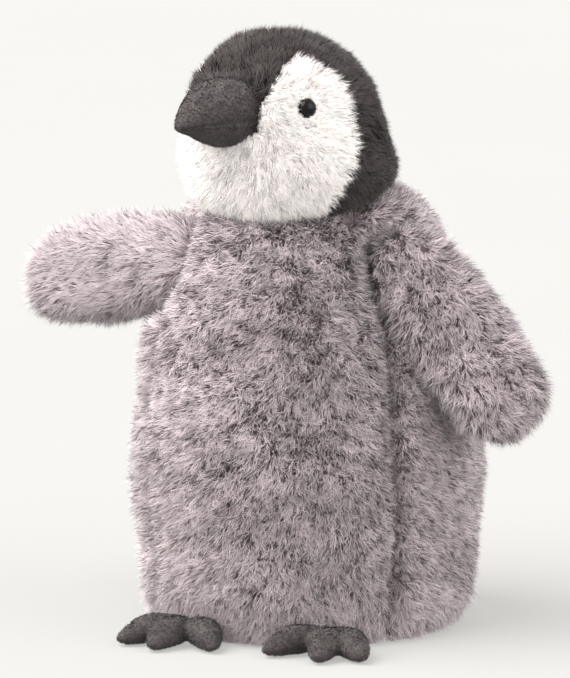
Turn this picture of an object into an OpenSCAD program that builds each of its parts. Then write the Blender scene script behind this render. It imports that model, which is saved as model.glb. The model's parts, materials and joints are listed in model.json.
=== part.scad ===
// Stuffed penguin, sewn from plush panels over a fibre filling.
// Millimetres. Z is up and the toy faces -Y, so +X is its own left side.
// The origin is the middle of the flat base, on the surface that the toy stands on.
// Solids stop at the cloth; the pile stands proud of them.

/* [Torso] */
// Largest radius of the torso, at the belly
belly_r = 68; // [64:0.5:72]
// Radius of the flat base
base_r = 54; // [50:0.5:56]
// Height of the flat top of the torso, under the neck
torso_h = 183.5; // [182:0.5:185]
// Half the angle that the front panel takes up, in degrees
front_half_angle = 52; // [46:1:58]
// Thickness of the plush cloth
cloth_t = 2.5; // [2:0.1:3]

/* [Head] */
// Largest radius of the head
head_r = 41; // [39:0.5:42]
// Height of the head above the neck's centre, along its own axis
head_h = 70.5; // [68:0.5:72]
// Height of the underside of the head above the neck's centre
head_gap = 5; // [4.5:0.1:6]
// How far the head leans forward as it is cut, in degrees
head_lean = 11; // [8:1:12]
// How far the head is turned at rest, towards its own left, in degrees
head_turn = -24; // [-35:1:35]
// Radius of the ball of filling that makes the neck
neck_r = 21; // [19:0.5:22]
// How far the neck stands in front of the torso's axis
neck_forward = 12; // [10:0.5:14]
// Half the width of the strip that runs over the crown
crown_half_w = 18; // [17:0.5:19]

/* [Beak] */
// Half the height of the beak at its root
beak_r = 12.5; // [11.5:0.5:13]
// How much wider than high the beak is, on each side
beak_spread = 5.5; // [4:0.5:6]
// Length of the beak from its root to its tip
beak_l = 34; // [30:0.5:36]

/* [Eyes] */
// Diameter of an eye
eye_d = 9; // [8:0.5:10]
// Angle of an eye from straight ahead, in degrees
eye_angle = 60; // [56:1:63]
// Height of an eye above the neck's centre, along the head's axis
eye_z = 48; // [44:0.5:50]

/* [Wings] */
// Distance from the wing's pivot to the centre of its round tip
wing_l = 62; // [58:0.5:66]
// Radius of the wing's tip
wing_tip_r = 16.5; // [15:0.5:18]
// Radius of the wing's root
wing_root_r = 14.5; // [13:0.5:16]
// Half the thickness of the wing
wing_half_t = 7.5; // [6:0.5:8]
// How far the wing's face is turned out from straight ahead, in degrees
wing_turn = 30; // [28:1:32]
// How far the wing's face is tipped up, in degrees
wing_tip_up = 20; // [18:1:22]
// Slope of the left wing at rest, in degrees from level
left_slope = -58; // [-78:1:22]
// Slope of the right wing at rest, in degrees from level
right_slope = -13; // [-78:1:22]

/* [Feet] */
// Length of a toe from the hinge to its tip
toe_l = 38; // [36:0.5:40]
// Largest radius of a toe
toe_r = 8.4; // [8:0.1:8.8]
// Angle between neighbouring toes, in degrees
toe_fan = 30; // [26:1:32]
// How far each foot turns outwards, in degrees
foot_splay = 8; // [4:1:12]

/* [Hidden] */
$fn = 96;
eps = 0.01;
hull_fn = 28;
// Size of the blocks that cut the solids; larger than the toy's own pieces
cut = 160;

// Torso outline, radius and height, from the base's edge to the flat top
base_t = 3;
torso_outline = [
    [base_r + 5.2, base_t], [base_r + 8.2, 8], [belly_r - 3.8, 20], [belly_r - 1.4, 42],
    [belly_r, 68], [belly_r - 1.2, 92], [belly_r - 4.6, 116], [belly_r - 9, 140],
    [belly_r - 13.5, 161], [belly_r - 17, 173], [belly_r - 23, 180], [belly_r - 34, torso_h]
];

// Head outline about its own leaning axis, from below the underside to the crown
head_outline = [
    [head_r - 5, -8], [head_r - 1, 3], [head_r, 12], [head_r - 0.4, 22], [head_r - 1.5, 32],
    [head_r - 3.3, 40], [head_r - 5.8, 48], [head_r - 9.4, 55], [head_r - 15, 61],
    [head_r - 22.5, 66], [head_r - 31.5, head_h - 1.2], [0, head_h]
];

// The white cheek's outline, as seen along the direction cheek_view
cheek_view = 60;
cheek_reach = 70;
cheek_outline = [
    [-21, 41.5], [-18, 53], [-8, 62.3], [1.8, 64.5], [11, 59.5], [17.5, 46.5], [18, 34],
    [13, 19.5], [5, 10.5], [-8, -14], [-46, -14], [-46, 41.5]
];
cheek_back_angle = 140;
chin_half_angle = 24;
chin_top = 38;
head_low = -20;

// Neck
neck_z = torso_h + 1.5;

// Beak
beak_z = 48.6;
beak_root = 33;
beak_skin = 1.6;
beak_tip_r = 3.2;
beak_tip_drop = 0.5;
beak_rise = 10;
beak_seam_z = -3;

// Eyes
eye_set_in = 1.2;
eye_back = 0.5;
eye_pitch = 22;
shank_r = 1.6;
shank_l = 11;
shank_fit = 0.05;
washer_r = 5.5;
washer_t = 1.6;
washer_back = 5;
washer_gap = 0.2;

// Wing pivot, given along the wing's level normal and across it
pivot_out = 46;
pivot_across = 39;
pivot_z = 157;
wing_skin = 1.8;
wing_root_neck_r = 10;
wing_root_neck_l = 18;
pocket_r = 24;
pocket_gap = 0.6;
moving_gap = 0.3;

// Feet
foot_x = 32;
foot_y = -55;
hinge_z = 6.2;
hinge_r = 5.6;
hinge_l = 26;
toe_root_r = 5.5;
toe_tip_r = 6.5;
toe_sink = 0.4;
toe_fn = 18;
foot_recess_r = 8;
foot_recess_end = 2;
sole_t = 2;
sole_half_w = 4.6;
foot_skin = 1.6;

// Pellet pouch in the base
pouch_r = 44;
pouch_z = 7;
pouch_h = 28;
pouch_t = 1;

// Closing seam and label on the centre-back seam
stitch_count = 9;
stitch_r = 0.5;
stitch_l = 5;
stitch_low_z = 92;
stitch_pitch = 5;
stitch_gap = 0.15;
stitch_fn = 24;
label_w = 16;
label_out = 13;
label_t = 0.5;
label_z = 28;
label_set_in = 0.3;

mauve = [0.62, 0.56, 0.57];
charcoal = [0.24, 0.22, 0.22];
white = [0.93, 0.90, 0.88];
suede = [0.25, 0.23, 0.23];
glossy_black = [0.03, 0.03, 0.03];
fibre = [0.96, 0.96, 0.94];

// ---------------------------------------------------------------- outlines

// The same outline moved inwards by t, towards the axis side
function inset(path, t) = [
    for (i = [0 : len(path) - 1])
        let (along = path[min(i + 1, len(path) - 1)] - path[max(i - 1, 0)])
        let (n = along / norm(along))
        [max(path[i].x - n.y * t, 0), path[i].y + n.x * t]
];

function reversed(path) = [for (i = [len(path) - 1 : -1 : 0]) path[i]];

// Radius of an outline at height z
function radius_at(path, z) = lookup(z, [for (p = path) [p.y, p.x]]);

torso_inner = inset(torso_outline, cloth_t);
head_inner = inset(head_outline, cloth_t);

// ---------------------------------------------------------------- frames

// Straight ahead turned by a degrees towards the toy's left
module face_towards(a) rotate([0, 0, a]) children();

module head_frame() {
    translate([0, -neck_forward, neck_z])
        rotate([0, 0, head_turn])
            rotate([head_lean, 0, 0])
                children();
}

// Wing frame: X along a level wing, Y up the wing's face, Z along the pivot towards the front
module wing_frame(slope) {
    rotate([0, 0, wing_turn])
        translate([pivot_across, -pivot_out, pivot_z])
            rotate([90 - wing_tip_up, 0, 0])
                rotate([0, 0, slope])
                    children();
}

module foot_frame() {
    translate([foot_x, foot_y, 0])
        rotate([0, 0, foot_splay])
            children();
}

module both_sides() {
    children();
    mirror([1, 0, 0]) children();
}

// ---------------------------------------------------------------- torso

module torso_solid(outline) {
    top = outline[len(outline) - 1];
    rotate_extrude()
        polygon(concat([[0, outline[0].y]], outline, [[0, top.y]]));
}

// Cloth of the torso between two angles from straight ahead
module torso_cloth(from, to) {
    outer_top = torso_outline[len(torso_outline) - 1];
    inner_top = torso_inner[len(torso_inner) - 1];
    rotate([0, 0, from - 90])
        rotate_extrude(angle = to - from)
            polygon(concat(
                torso_outline, [[0, outer_top.y], [0, inner_top.y]], reversed(torso_inner)));
}

module neck_socket() {
    translate([0, -neck_forward, neck_z])
        head_socket();
}

module wing_bore() {
    wing_frame(0)
        translate([0, 0, -wing_half_t - wing_root_neck_l - 1])
            cylinder(r = wing_root_neck_r + moving_gap, h = wing_root_neck_l + wing_half_t);
}

// Room for the wing's root, from the pocket's floor outwards
module wing_pocket() {
    wing_frame(0)
        translate([0, 0, -wing_half_t - pocket_gap])
            cylinder(r = pocket_r, h = cut / 2);
}

module foot_recess() {
    foot_frame()
        translate([-hinge_l / 2 - foot_recess_end, 0, hinge_z])
            rotate([0, 90, 0])
                cylinder(r = foot_recess_r, h = hinge_l + 2 * foot_recess_end);
}

module body_front_panel() {
    color(mauve)
        difference() {
            torso_cloth(-front_half_angle, front_half_angle);
            neck_socket();
            both_sides() {
                foot_recess();
                wing_pocket();
            }
        }
}

module side_panel() {
    difference() {
        torso_cloth(front_half_angle, 180);
        wing_pocket();
        wing_bore();
        neck_socket();
        foot_recess();
        label_solid();
    }
}

module body_left_panel() color(mauve) side_panel();
module body_right_panel() color(mauve) mirror([1, 0, 0]) side_panel();

module base_panel() {
    color(mauve)
        difference() {
            rotate_extrude()
                polygon([[0, 0], [base_r, 0], [base_r + 3.4, 1.2], [base_r + 5.2, base_t], [0, base_t]]);
            both_sides() foot_recess();
        }
}

module body_filling() {
    color(fibre)
        difference() {
            torso_solid(torso_inner);
            neck_socket();
            pouch_solid(0);
            both_sides() {
                wing_pocket();
                wing_bore();
                foot_recess();
            }
            translate([0, 0, -eps]) cylinder(r = belly_r, h = base_t + eps);
        }
}

// The pouch is a flat cushion of pellets that lies in the base
module pouch_solid(t) {
    mid = pouch_z + pouch_h / 2;
    rotate_extrude()
        polygon([
            [0, pouch_z + t], [pouch_r - 10 - t, pouch_z + t], [pouch_r - 2 - t, pouch_z + 5],
            [pouch_r - t, mid], [pouch_r - 2 - t, pouch_z + pouch_h - 5],
            [pouch_r - 10 - t, pouch_z + pouch_h - t], [0, pouch_z + pouch_h - t]
        ]);
}

module pellet_pouch() {
    color([0.85, 0.84, 0.80])
        difference() {
            pouch_solid(0);
            pouch_solid(pouch_t);
        }
}

module pellet_fill() color([0.90, 0.90, 0.88]) pouch_solid(pouch_t);

module closing_stitches() {
    color([0.45, 0.41, 0.42])
        for (i = [0 : stitch_count - 1])
            let (z = stitch_low_z + i * stitch_pitch)
            translate([-stitch_l / 2, radius_at(torso_outline, z) + stitch_r + stitch_gap, z])
                rotate([0, 90, 0])
                    cylinder(r = stitch_r, h = stitch_l, $fn = stitch_fn);
}

// A folded blank ribbon, caught in the centre-back seam
module label_solid() {
    translate([0, radius_at(torso_outline, label_z) - label_set_in, label_z])
        rotate([90, 0, 90])
            linear_extrude(height = label_t * 2, center = true)
                square([label_out, label_w]);
}

module sewn_label() color([0.95, 0.95, 0.95]) label_solid();

// ---------------------------------------------------------------- neck and head

module neck_core() {
    color(fibre)
        translate([0, -neck_forward, neck_z])
            sphere(r = neck_r);
}

module head_solid(outline) {
    rotate_extrude()
        polygon(concat([[0, outline[0].y]], outline));
}

// Everything at and above the underside of the head, which is level in the toy's frame
module above_underside() {
    rotate([-head_lean, 0, 0])
        translate([-cut / 2, -cut / 2, head_gap])
            cube(cut);
}

module head_socket() sphere(r = neck_r + moving_gap);

module head_cloth() {
    difference() {
        intersection() {
            difference() {
                head_solid(head_outline);
                head_solid(head_inner);
            }
            above_underside();
        }
        head_socket();
    }
}

// side is 1 for the toy's left and -1 for its right
module cheek_region(side) {
    face_towards(side * cheek_view)
        rotate([90, 0, 0])
            linear_extrude(height = cheek_reach)
                on_side(side)
                    polygon(cheek_outline);
}

module on_side(side) {
    if (side > 0) children();
    else mirror([1, 0, 0]) children();
}

// The wedge of the head between two angles from straight ahead, below a height
module head_wedge(from, to, top = cut / 2) {
    steps = 6;
    translate([0, 0, head_low])
        linear_extrude(height = top - head_low)
            polygon(concat([[0, 0]], [
                for (i = [0 : steps])
                    let (a = from + (to - from) * i / steps)
                    [cut / 2 * sin(a), -cut / 2 * cos(a)]
            ]));
}

module eye_place(side) {
    face_towards(side * eye_angle)
        translate([0, -radius_at(head_outline, eye_z), eye_z])
            rotate([90 - eye_pitch, 0, 0])
                children();
}

module shank_bore(side) {
    eye_place(side)
        translate([0, 0, -shank_l - 1])
            cylinder(r = shank_r + shank_fit, h = shank_l + 6);
}

module cheek_panel(side) {
    color(white)
        head_frame()
            difference() {
                intersection() {
                    head_cloth();
                    cheek_region(side);
                    if (side > 0) head_wedge(chin_half_angle, cheek_back_angle);
                    else head_wedge(-cheek_back_angle, -chin_half_angle);
                }
                shank_bore(side);
                eye_place(side) eye_dome();
            }
}

module face_left_panel() cheek_panel(1);
module face_right_panel() cheek_panel(-1);

module chin_panel() {
    color(white)
        head_frame()
            intersection() {
                head_cloth();
                head_wedge(-chin_half_angle, chin_half_angle, chin_top);
            }
}

// The dark part of the head's cloth
module cap_cloth() {
    difference() {
        head_cloth();
        cheek_region(1);
        cheek_region(-1);
        head_wedge(-chin_half_angle, chin_half_angle, chin_top);
    }
}

module crown_strip() {
    translate([-crown_half_w, -cut / 2, head_low])
        cube([2 * crown_half_w, cut, cut]);
}

module crown_panel() {
    color(charcoal)
        head_frame()
            intersection() {
                cap_cloth();
                crown_strip();
            }
}

module cap_side(side) {
    color(charcoal)
        head_frame()
            intersection() {
                cap_cloth();
                translate([side > 0 ? crown_half_w : -cut - crown_half_w, -cut / 2, head_low])
                    cube(cut);
            }
}

module cap_left_panel() cap_side(1);
module cap_right_panel() cap_side(-1);

module head_filling() {
    color(fibre)
        head_frame()
            difference() {
                intersection() {
                    head_solid(head_inner);
                    above_underside();
                }
                head_socket();
                for (side = [-1, 1]) {
                    shank_bore(side);
                    eye_place(side) washer_room();
                    eye_place(side) eye_dome();
                }
            }
}

// ---------------------------------------------------------------- beak

module beak_place() {
    translate([0, -beak_root, beak_z])
        rotate([-beak_rise, 0, 0])
            children();
}

module beak_body(t) {
    hull() {
        for (side = [-1, 1])
            translate([side * beak_spread, 0, 0])
                sphere(r = beak_r - t, $fn = hull_fn);
        translate([0, -beak_l - t + beak_tip_r, -beak_tip_drop])
            sphere(r = beak_tip_r - t * 0.6, $fn = hull_fn);
    }
}

// The beak's room above its side seams, or below them
module beak_side(above) {
    translate([-cut / 2, -cut / 2, above ? beak_seam_z : beak_seam_z - cut])
        cube(cut);
}

module beak_cloth() {
    difference() {
        beak_body(0);
        beak_body(beak_skin);
    }
}

module beak_panel(above) {
    color(suede)
        head_frame()
            difference() {
                beak_place()
                    intersection() {
                        beak_cloth();
                        beak_side(above);
                    }
                head_solid(head_outline);
            }
}

module beak_upper() beak_panel(true);
module beak_lower() beak_panel(false);

module beak_filling() {
    color(fibre)
        head_frame()
            difference() {
                beak_place() beak_body(beak_skin);
                head_solid(head_outline);
            }
}

// ---------------------------------------------------------------- eyes

// The dome of an eye, with its flat back set into the cloth
module eye_dome() {
    translate([0, 0, -eye_set_in])
        intersection() {
            sphere(d = eye_d);
            translate([0, 0, -eye_back]) cylinder(r = eye_d, h = eye_d);
        }
}

module eye(side) {
    color(glossy_black)
        head_frame()
            eye_place(side) {
                eye_dome();
                translate([0, 0, -shank_l])
                    cylinder(r = shank_r, h = shank_l - eye_set_in);
            }
}

module washer_room() {
    translate([0, 0, -washer_back - washer_t - washer_gap])
        cylinder(r = washer_r + washer_gap, h = washer_t + 2 * washer_gap);
}

module washer(side) {
    color([0.8, 0.8, 0.78])
        head_frame()
            eye_place(side)
                translate([0, 0, -washer_back - washer_t])
                    difference() {
                        cylinder(r = washer_r, h = washer_t);
                        translate([0, 0, -1]) cylinder(r = shank_r + shank_fit, h = washer_t + 2);
                    }
}

module eye_left() eye(1);
module eye_right() eye(-1);
module eye_washer_left() washer(1);
module eye_washer_right() washer(-1);

// ---------------------------------------------------------------- wings

// A round cushion shape of radius r and half thickness t, thin at its edge
module lens(r, t) {
    rotate_extrude($fn = hull_fn)
        polygon([[0, -t], [r * 0.55, -t * 0.9], [r * 0.88, -t * 0.55], [r, 0],
            [r * 0.88, t * 0.55], [r * 0.55, t * 0.9], [0, t]]);
}

module wing_body(s) {
    hull() {
        lens(wing_root_r - s, wing_half_t - s);
        translate([wing_l, 0, 0]) lens(wing_tip_r - s, wing_half_t - s);
    }
}

module wing_cloth() {
    difference() {
        wing_body(0);
        wing_body(wing_skin);
    }
}

module half_space(up) {
    translate([-cut / 4, -cut / 2, up ? 0 : -cut]) cube(cut);
}

module wing_outer(slope) {
    color(mauve)
        wing_frame(slope)
            intersection() {
                wing_cloth();
                half_space(true);
            }
}

module wing_inner(slope) {
    color(mauve)
        wing_frame(slope)
            difference() {
                intersection() {
                    wing_cloth();
                    half_space(false);
                }
                translate([0, 0, -wing_half_t - 1])
                    cylinder(r = wing_root_neck_r, h = wing_half_t);
            }
}

module wing_filling(slope) {
    color(fibre)
        wing_frame(slope)
            difference() {
                wing_body(wing_skin);
                translate([0, 0, -wing_half_t - 1])
                    cylinder(r = wing_root_neck_r, h = wing_half_t);
            }
}

// The stuffed neck of the wing, which passes through the armhole
module wing_root(slope) {
    color(mauve)
        wing_frame(slope)
            translate([0, 0, -wing_half_t - wing_root_neck_l + 1])
                cylinder(r = wing_root_neck_r, h = wing_root_neck_l + wing_half_t - 2);
}

module left_wing_outer() wing_outer(left_slope);
module left_wing_inner() wing_inner(left_slope);
module left_wing_filling() wing_filling(left_slope);
module left_wing_root() wing_root(left_slope);
module right_wing_outer() mirror([1, 0, 0]) wing_outer(right_slope);
module right_wing_inner() mirror([1, 0, 0]) wing_inner(right_slope);
module right_wing_filling() mirror([1, 0, 0]) wing_filling(right_slope);
module right_wing_root() mirror([1, 0, 0]) wing_root(right_slope);

// ---------------------------------------------------------------- feet

// One toe along -Y from the hinge, moved in by t all round
module toe(t) {
    hull() {
        translate([0, -4, toe_root_r]) sphere(r = toe_root_r - t, $fn = toe_fn);
        translate([0, -toe_l * 0.62, toe_r - toe_sink]) sphere(r = toe_r - t, $fn = toe_fn);
        translate([0, -toe_l + toe_tip_r, toe_tip_r]) sphere(r = toe_tip_r - t, $fn = toe_fn);
    }
}

module foot_solid(t) {
    for (a = [-toe_fan, 0, toe_fan])
        rotate([0, 0, a]) toe(t);
    translate([-hinge_l / 2 + t, 0, hinge_z])
        rotate([0, 90, 0])
            cylinder(r = hinge_r - t, h = hinge_l - 2 * t);
}

module floor_slab(low, high) {
    translate([-cut / 2, -cut / 2, low]) cube([cut, cut, high - low]);
}

module foot_upper() {
    color(suede)
        foot_frame()
            difference() {
                intersection() {
                    foot_solid(0);
                    floor_slab(sole_t, cut);
                }
                foot_solid(foot_skin);
            }
}

module foot_sole() {
    color(suede)
        foot_frame()
            linear_extrude(height = sole_t)
                for (a = [-toe_fan, 0, toe_fan])
                    rotate(a)
                        translate([-sole_half_w, -toe_l + 3])
                            square([2 * sole_half_w, toe_l - 3]);
}

module foot_filling() {
    color(fibre)
        foot_frame()
            intersection() {
                foot_solid(foot_skin);
                floor_slab(sole_t, cut);
            }
}

module left_foot_upper() foot_upper();
module left_foot_sole() foot_sole();
module left_foot_filling() foot_filling();
module right_foot_upper() mirror([1, 0, 0]) foot_upper();
module right_foot_sole() mirror([1, 0, 0]) foot_sole();
module right_foot_filling() mirror([1, 0, 0]) foot_filling();

// ---------------------------------------------------------------- output

body_front_panel();
body_left_panel();
body_right_panel();
base_panel();
body_filling();
pellet_pouch();
pellet_fill();
closing_stitches();
sewn_label();
neck_core();
head_filling();
crown_panel();
cap_left_panel();
cap_right_panel();
face_left_panel();
face_right_panel();
chin_panel();
beak_upper();
beak_lower();
beak_filling();
eye_left();
eye_right();
eye_washer_left();
eye_washer_right();
left_wing_outer();
left_wing_inner();
left_wing_filling();
left_wing_root();
right_wing_outer();
right_wing_inner();
right_wing_filling();
right_wing_root();
left_foot_upper();
left_foot_sole();
left_foot_filling();
right_foot_upper();
right_foot_sole();
right_foot_filling();
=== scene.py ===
"""Looks of the stuffed penguin: stuffed skins, strands of pile, suede beak and feet, glossy eyes.

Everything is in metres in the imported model's frame: +Z up, the toy faces -Y, +X is its own left.
"""

import json
import math

import bmesh
import bpy
import numpy as np
from mathutils import Matrix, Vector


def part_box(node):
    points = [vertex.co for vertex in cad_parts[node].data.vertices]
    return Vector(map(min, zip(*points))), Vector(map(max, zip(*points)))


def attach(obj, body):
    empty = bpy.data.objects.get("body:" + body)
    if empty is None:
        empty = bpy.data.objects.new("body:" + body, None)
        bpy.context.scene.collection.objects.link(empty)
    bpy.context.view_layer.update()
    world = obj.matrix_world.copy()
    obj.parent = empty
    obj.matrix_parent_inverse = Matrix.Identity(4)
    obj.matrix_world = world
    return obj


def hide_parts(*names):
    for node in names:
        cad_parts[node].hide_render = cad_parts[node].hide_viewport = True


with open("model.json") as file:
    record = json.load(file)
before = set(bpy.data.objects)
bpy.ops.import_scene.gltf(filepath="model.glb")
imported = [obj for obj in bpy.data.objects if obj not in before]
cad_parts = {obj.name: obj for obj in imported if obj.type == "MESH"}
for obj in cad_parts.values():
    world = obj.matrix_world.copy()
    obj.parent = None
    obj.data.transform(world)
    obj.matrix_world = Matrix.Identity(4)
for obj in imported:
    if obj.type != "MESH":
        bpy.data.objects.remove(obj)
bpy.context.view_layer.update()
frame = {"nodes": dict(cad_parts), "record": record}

MM = 0.001
FLOOR_GAP = 0.3 * MM
SEED = 11
JOINTS = {j["name"]: j for j in frame["record"]["behaviour"]["joints"]}
SIDES = ("left", "right")


# ------------------------------------------------------------------ small maths

def unit(v):
    v = np.asarray(v, float)
    return v / np.maximum(np.linalg.norm(v, axis=-1, keepdims=True), 1e-12)


def smoothstep(x, low, high):
    t = np.clip((x - low) / (high - low), 0, 1)
    return t * t * (3 - 2 * t)


def bump(x, width):
    """1 at x = 0, falling to almost nothing at two widths away."""
    return np.exp(-(x / width) ** 2)


def noise(points, wavelength, seed, waves=7):
    """Smooth noise between about -1 and 1 at each point, from a few crossed waves."""
    rng = np.random.default_rng(seed)
    directions = unit(rng.normal(size=(waves, 3)))
    lengths = wavelength * rng.uniform(0.7, 1.5, waves)
    phases = rng.uniform(0, 2 * math.pi, waves)
    total = np.sin(points @ directions.T * (2 * math.pi / lengths) + phases).sum(1)
    return total / math.sqrt(waves / 2) / 1.6


def turned(v, axis, angle):
    """v turned about axis by angle, in radians, for rows of vectors and angles."""
    c, s = np.cos(angle)[:, None], np.sin(angle)[:, None]
    return v * c + np.cross(axis, v) * s + axis * (np.sum(axis * v, 1, keepdims=True) * (1 - c))


def on_surface(v, normals):
    """v with its part along the normals taken out, as a unit vector."""
    return unit(v - normals * np.sum(v * normals, 1, keepdims=True))


def angle_around(points):
    """Degrees from straight ahead, positive towards the toy's left."""
    return np.degrees(np.arctan2(points[:, 0], -points[:, 1]))


def rotation(axis, degrees):
    axis = unit(axis)
    k = np.array([[0, -axis[2], axis[1]], [axis[2], 0, -axis[0]], [-axis[1], axis[0], 0]])
    a = math.radians(degrees)
    return np.eye(3) + math.sin(a) * k + (1 - math.cos(a)) * (k @ k)


def spline(points, spacing):
    """A Catmull-Rom curve through the points, with its own points about evenly spaced."""
    p = np.asarray(points, float)
    ends = np.vstack([2 * p[0] - p[1], p, 2 * p[-1] - p[-2]])
    curve = []
    for i in range(1, len(ends) - 2):
        a, b, c, d = ends[i - 1:i + 3]
        for t in np.linspace(0, 1, 12, endpoint=False):
            curve.append(0.5 * (2 * b + (c - a) * t + (2 * a - 5 * b + 4 * c - d) * t ** 2
                                + (3 * b - a - 3 * c + d) * t ** 3))
    curve.append(p[-1])
    curve = np.array(curve)
    run = np.concatenate([[0], np.cumsum(np.linalg.norm(np.diff(curve, axis=0), axis=1))])
    at = np.linspace(0, run[-1], max(int(run[-1] / spacing), 4) + 1)
    return np.stack([np.interp(at, run, curve[:, k]) for k in range(curve.shape[1])], 1)


# ------------------------------------------------------------------ meshes

def make_object(name, vertices, faces, material, smooth=True):
    mesh = bpy.data.meshes.new(name)
    mesh.from_pydata([tuple(v) for v in vertices], [], faces)
    mesh.polygons.foreach_set("use_smooth", [smooth] * len(mesh.polygons))
    mesh.materials.append(material)
    mesh.update()
    obj = bpy.data.objects.new(name, mesh)
    bpy.context.collection.objects.link(obj)
    return obj


def loft_faces(rings, around):
    """Quads between rings of vertices, and a fan at each end to the last two vertices."""
    faces = []
    for i in range(rings - 1):
        near, far = i * around, (i + 1) * around
        for j in range(around):
            k = (j + 1) % around
            faces.append((near + j, near + k, far + k, far + j))
    low, high = rings * around, rings * around + 1
    for j in range(around):
        k = (j + 1) % around
        faces.append((low, k, j))
        faces.append((high, (rings - 1) * around + j, (rings - 1) * around + k))
    return faces


def revolved(outline, around):
    """Vertices of a closed solid of revolution about Z, from the bottom's middle to the top's."""
    angles = np.linspace(-math.pi, math.pi, around, endpoint=False)
    rings = outline[1:-1]
    vertices = [(r * math.sin(a), -r * math.cos(a), z) for r, z in rings for a in angles]
    vertices += [(0, 0, outline[0][1]), (0, 0, outline[-1][1])]
    return np.array(vertices), loft_faces(len(rings), around)


def coordinates(obj):
    out = np.empty(len(obj.data.vertices) * 3)
    obj.data.vertices.foreach_get("co", out)
    return out.reshape(-1, 3)


def set_coordinates(obj, points):
    obj.data.vertices.foreach_set("co", np.ascontiguousarray(points).ravel())
    obj.data.update()


CLOTH_FRAMES = 18
FABRIC = {
    "quality": 4, "mass": 0.2, "tension_stiffness": 12, "compression_stiffness": 12,
    "shear_stiffness": 6, "bending_stiffness": 0.6}


def stuffed(obj, seam_weight, pressure, cap):
    """Cloth simulation: filling pushes the skin out between its seams, by no more than cap."""
    rest = coordinates(obj)
    group = obj.vertex_groups.new(name="seams")
    for i, w in enumerate(seam_weight):
        if w > 0.02:
            group.add([i], float(min(w, 1)), "REPLACE")
    modifier = obj.modifiers.new("stuffing", "CLOTH")
    cloth = modifier.settings
    for key, value in FABRIC.items():
        setattr(cloth, key, value)
    cloth.use_pressure = True
    cloth.uniform_pressure_force = pressure
    cloth.vertex_group_mass = "seams"
    cloth.effector_weights.gravity = 0
    scene = bpy.context.scene
    for step in range(CLOTH_FRAMES):
        scene.frame_set(step + 1)
    evaluated = obj.evaluated_get(bpy.context.evaluated_depsgraph_get())
    moved = np.empty(len(rest) * 3)
    evaluated.data.vertices.foreach_get("co", moved)
    move = moved.reshape(-1, 3) - rest
    far = np.linalg.norm(move, axis=1, keepdims=True)
    move *= np.minimum(1, cap / np.maximum(far, 1e-9))
    obj.modifiers.remove(modifier)
    obj.vertex_groups.remove(group)
    scene.frame_set(1)
    set_coordinates(obj, rest + move)


# ------------------------------------------------------------------ node materials

class Nodes:
    """A new material's node tree, with short calls to add and join nodes."""

    def __init__(self, name):
        self.material = bpy.data.materials.new(name)
        self.material.use_nodes = True
        self.tree = self.material.node_tree
        self.shader = self.tree.nodes["Principled BSDF"]
        self.shader.inputs["Specular IOR Level"].default_value = 0.2

    def add(self, kind, inputs=None, **settings):
        node = self.tree.nodes.new("ShaderNode" + kind)
        for key, value in settings.items():
            setattr(node, key, value)
        for key, value in (inputs or {}).items():
            if isinstance(value, bpy.types.NodeSocket):
                self.tree.links.new(value, node.inputs[key])
            else:
                node.inputs[key].default_value = value
        return node

    def link(self, socket, name):
        self.tree.links.new(socket, self.shader.inputs[name])

    def set(self, **values):
        for key, value in values.items():
            self.shader.inputs[key.replace("_", " ")].default_value = value

    def ramp(self, factor, stops):
        node = self.add("ValToRGB", {"Fac": factor})
        ramp = node.color_ramp
        while len(ramp.elements) < len(stops):
            ramp.elements.new(0.5)
        for element, (at, colour) in zip(ramp.elements, stops):
            element.position = at
            element.color = (*colour, 1)
        return node.outputs["Color"]

    def noise(self, scale, detail=3.0, **more):
        place = self.add("TexCoord").outputs["Object"]
        inputs = {"Vector": place, "Scale": scale, "Detail": detail, **more}
        return self.add("TexNoise", inputs).outputs["Fac"]

    def mix(self, kind, factor, a, b):
        node = self.add("Mix", data_type="RGBA", blend_type=kind)
        for index, value in ((0, factor), (6, a), (7, b)):
            if isinstance(value, bpy.types.NodeSocket):
                self.tree.links.new(value, node.inputs[index])
            else:
                node.inputs[index].default_value = value if index == 0 else (*value, 1)
        return node.outputs[2]

    def maths(self, operation, a, b):
        return self.add("Math", {0: a, 1: b}, operation=operation).outputs[0]

    def bump(self, height, strength, distance):
        node = self.add("Bump", {"Height": height, "Strength": strength, "Distance": distance})
        self.link(node.outputs["Normal"], "Normal")


def pile_material(name, root, middle, tip, pale, streak, glow=0.0, sheen=0.35):
    """Strands, dark at the root and paler at the tip, that vary from tuft to tuft.

    glow is painted light: the strands give out light of their pale colour, standing for the light
    that white fibres pass on among themselves.
    """
    n = Nodes(name)
    strand = n.add("Attribute", attribute_name="strand").outputs["Vector"]
    parts = n.add("SeparateXYZ", {0: strand})
    along, own, tuft = (parts.outputs[k] for k in "XYZ")
    colour = n.ramp(along, [(0.0, root), (0.38, middle), (0.85, tip), (1.0, pale)])
    own_tint = n.ramp(own, [(0.0, (1 - streak,) * 3), (1.0, (1 + streak * 0.6,) * 3)])
    tuft_tint = n.ramp(tuft, [(0.0, (1 - streak * 0.8,) * 3), (1.0, (1 + streak * 0.5,) * 3)])
    patch = n.ramp(n.noise(38.0), [(0.35, (0.9, 0.88, 0.89)), (0.65, (1.06, 1.05, 1.05))])
    colour = n.mix("MULTIPLY", 1.0, colour, own_tint)
    colour = n.mix("MULTIPLY", 1.0, colour, tuft_tint)
    colour = n.mix("MULTIPLY", 0.8, colour, patch)
    n.link(colour, "Base Color")
    n.link(n.ramp(own, [(0.0, (0.62,) * 3), (1.0, (0.85,) * 3)]), "Roughness")
    # glow is painted light: an emission of the pale colour, though the strands are no lamp
    n.set(Sheen_Weight=sheen, Sheen_Roughness=0.45, Emission_Strength=glow)
    n.shader.inputs["Emission Color"].default_value = (*pale, 1)
    return n.material


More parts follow.
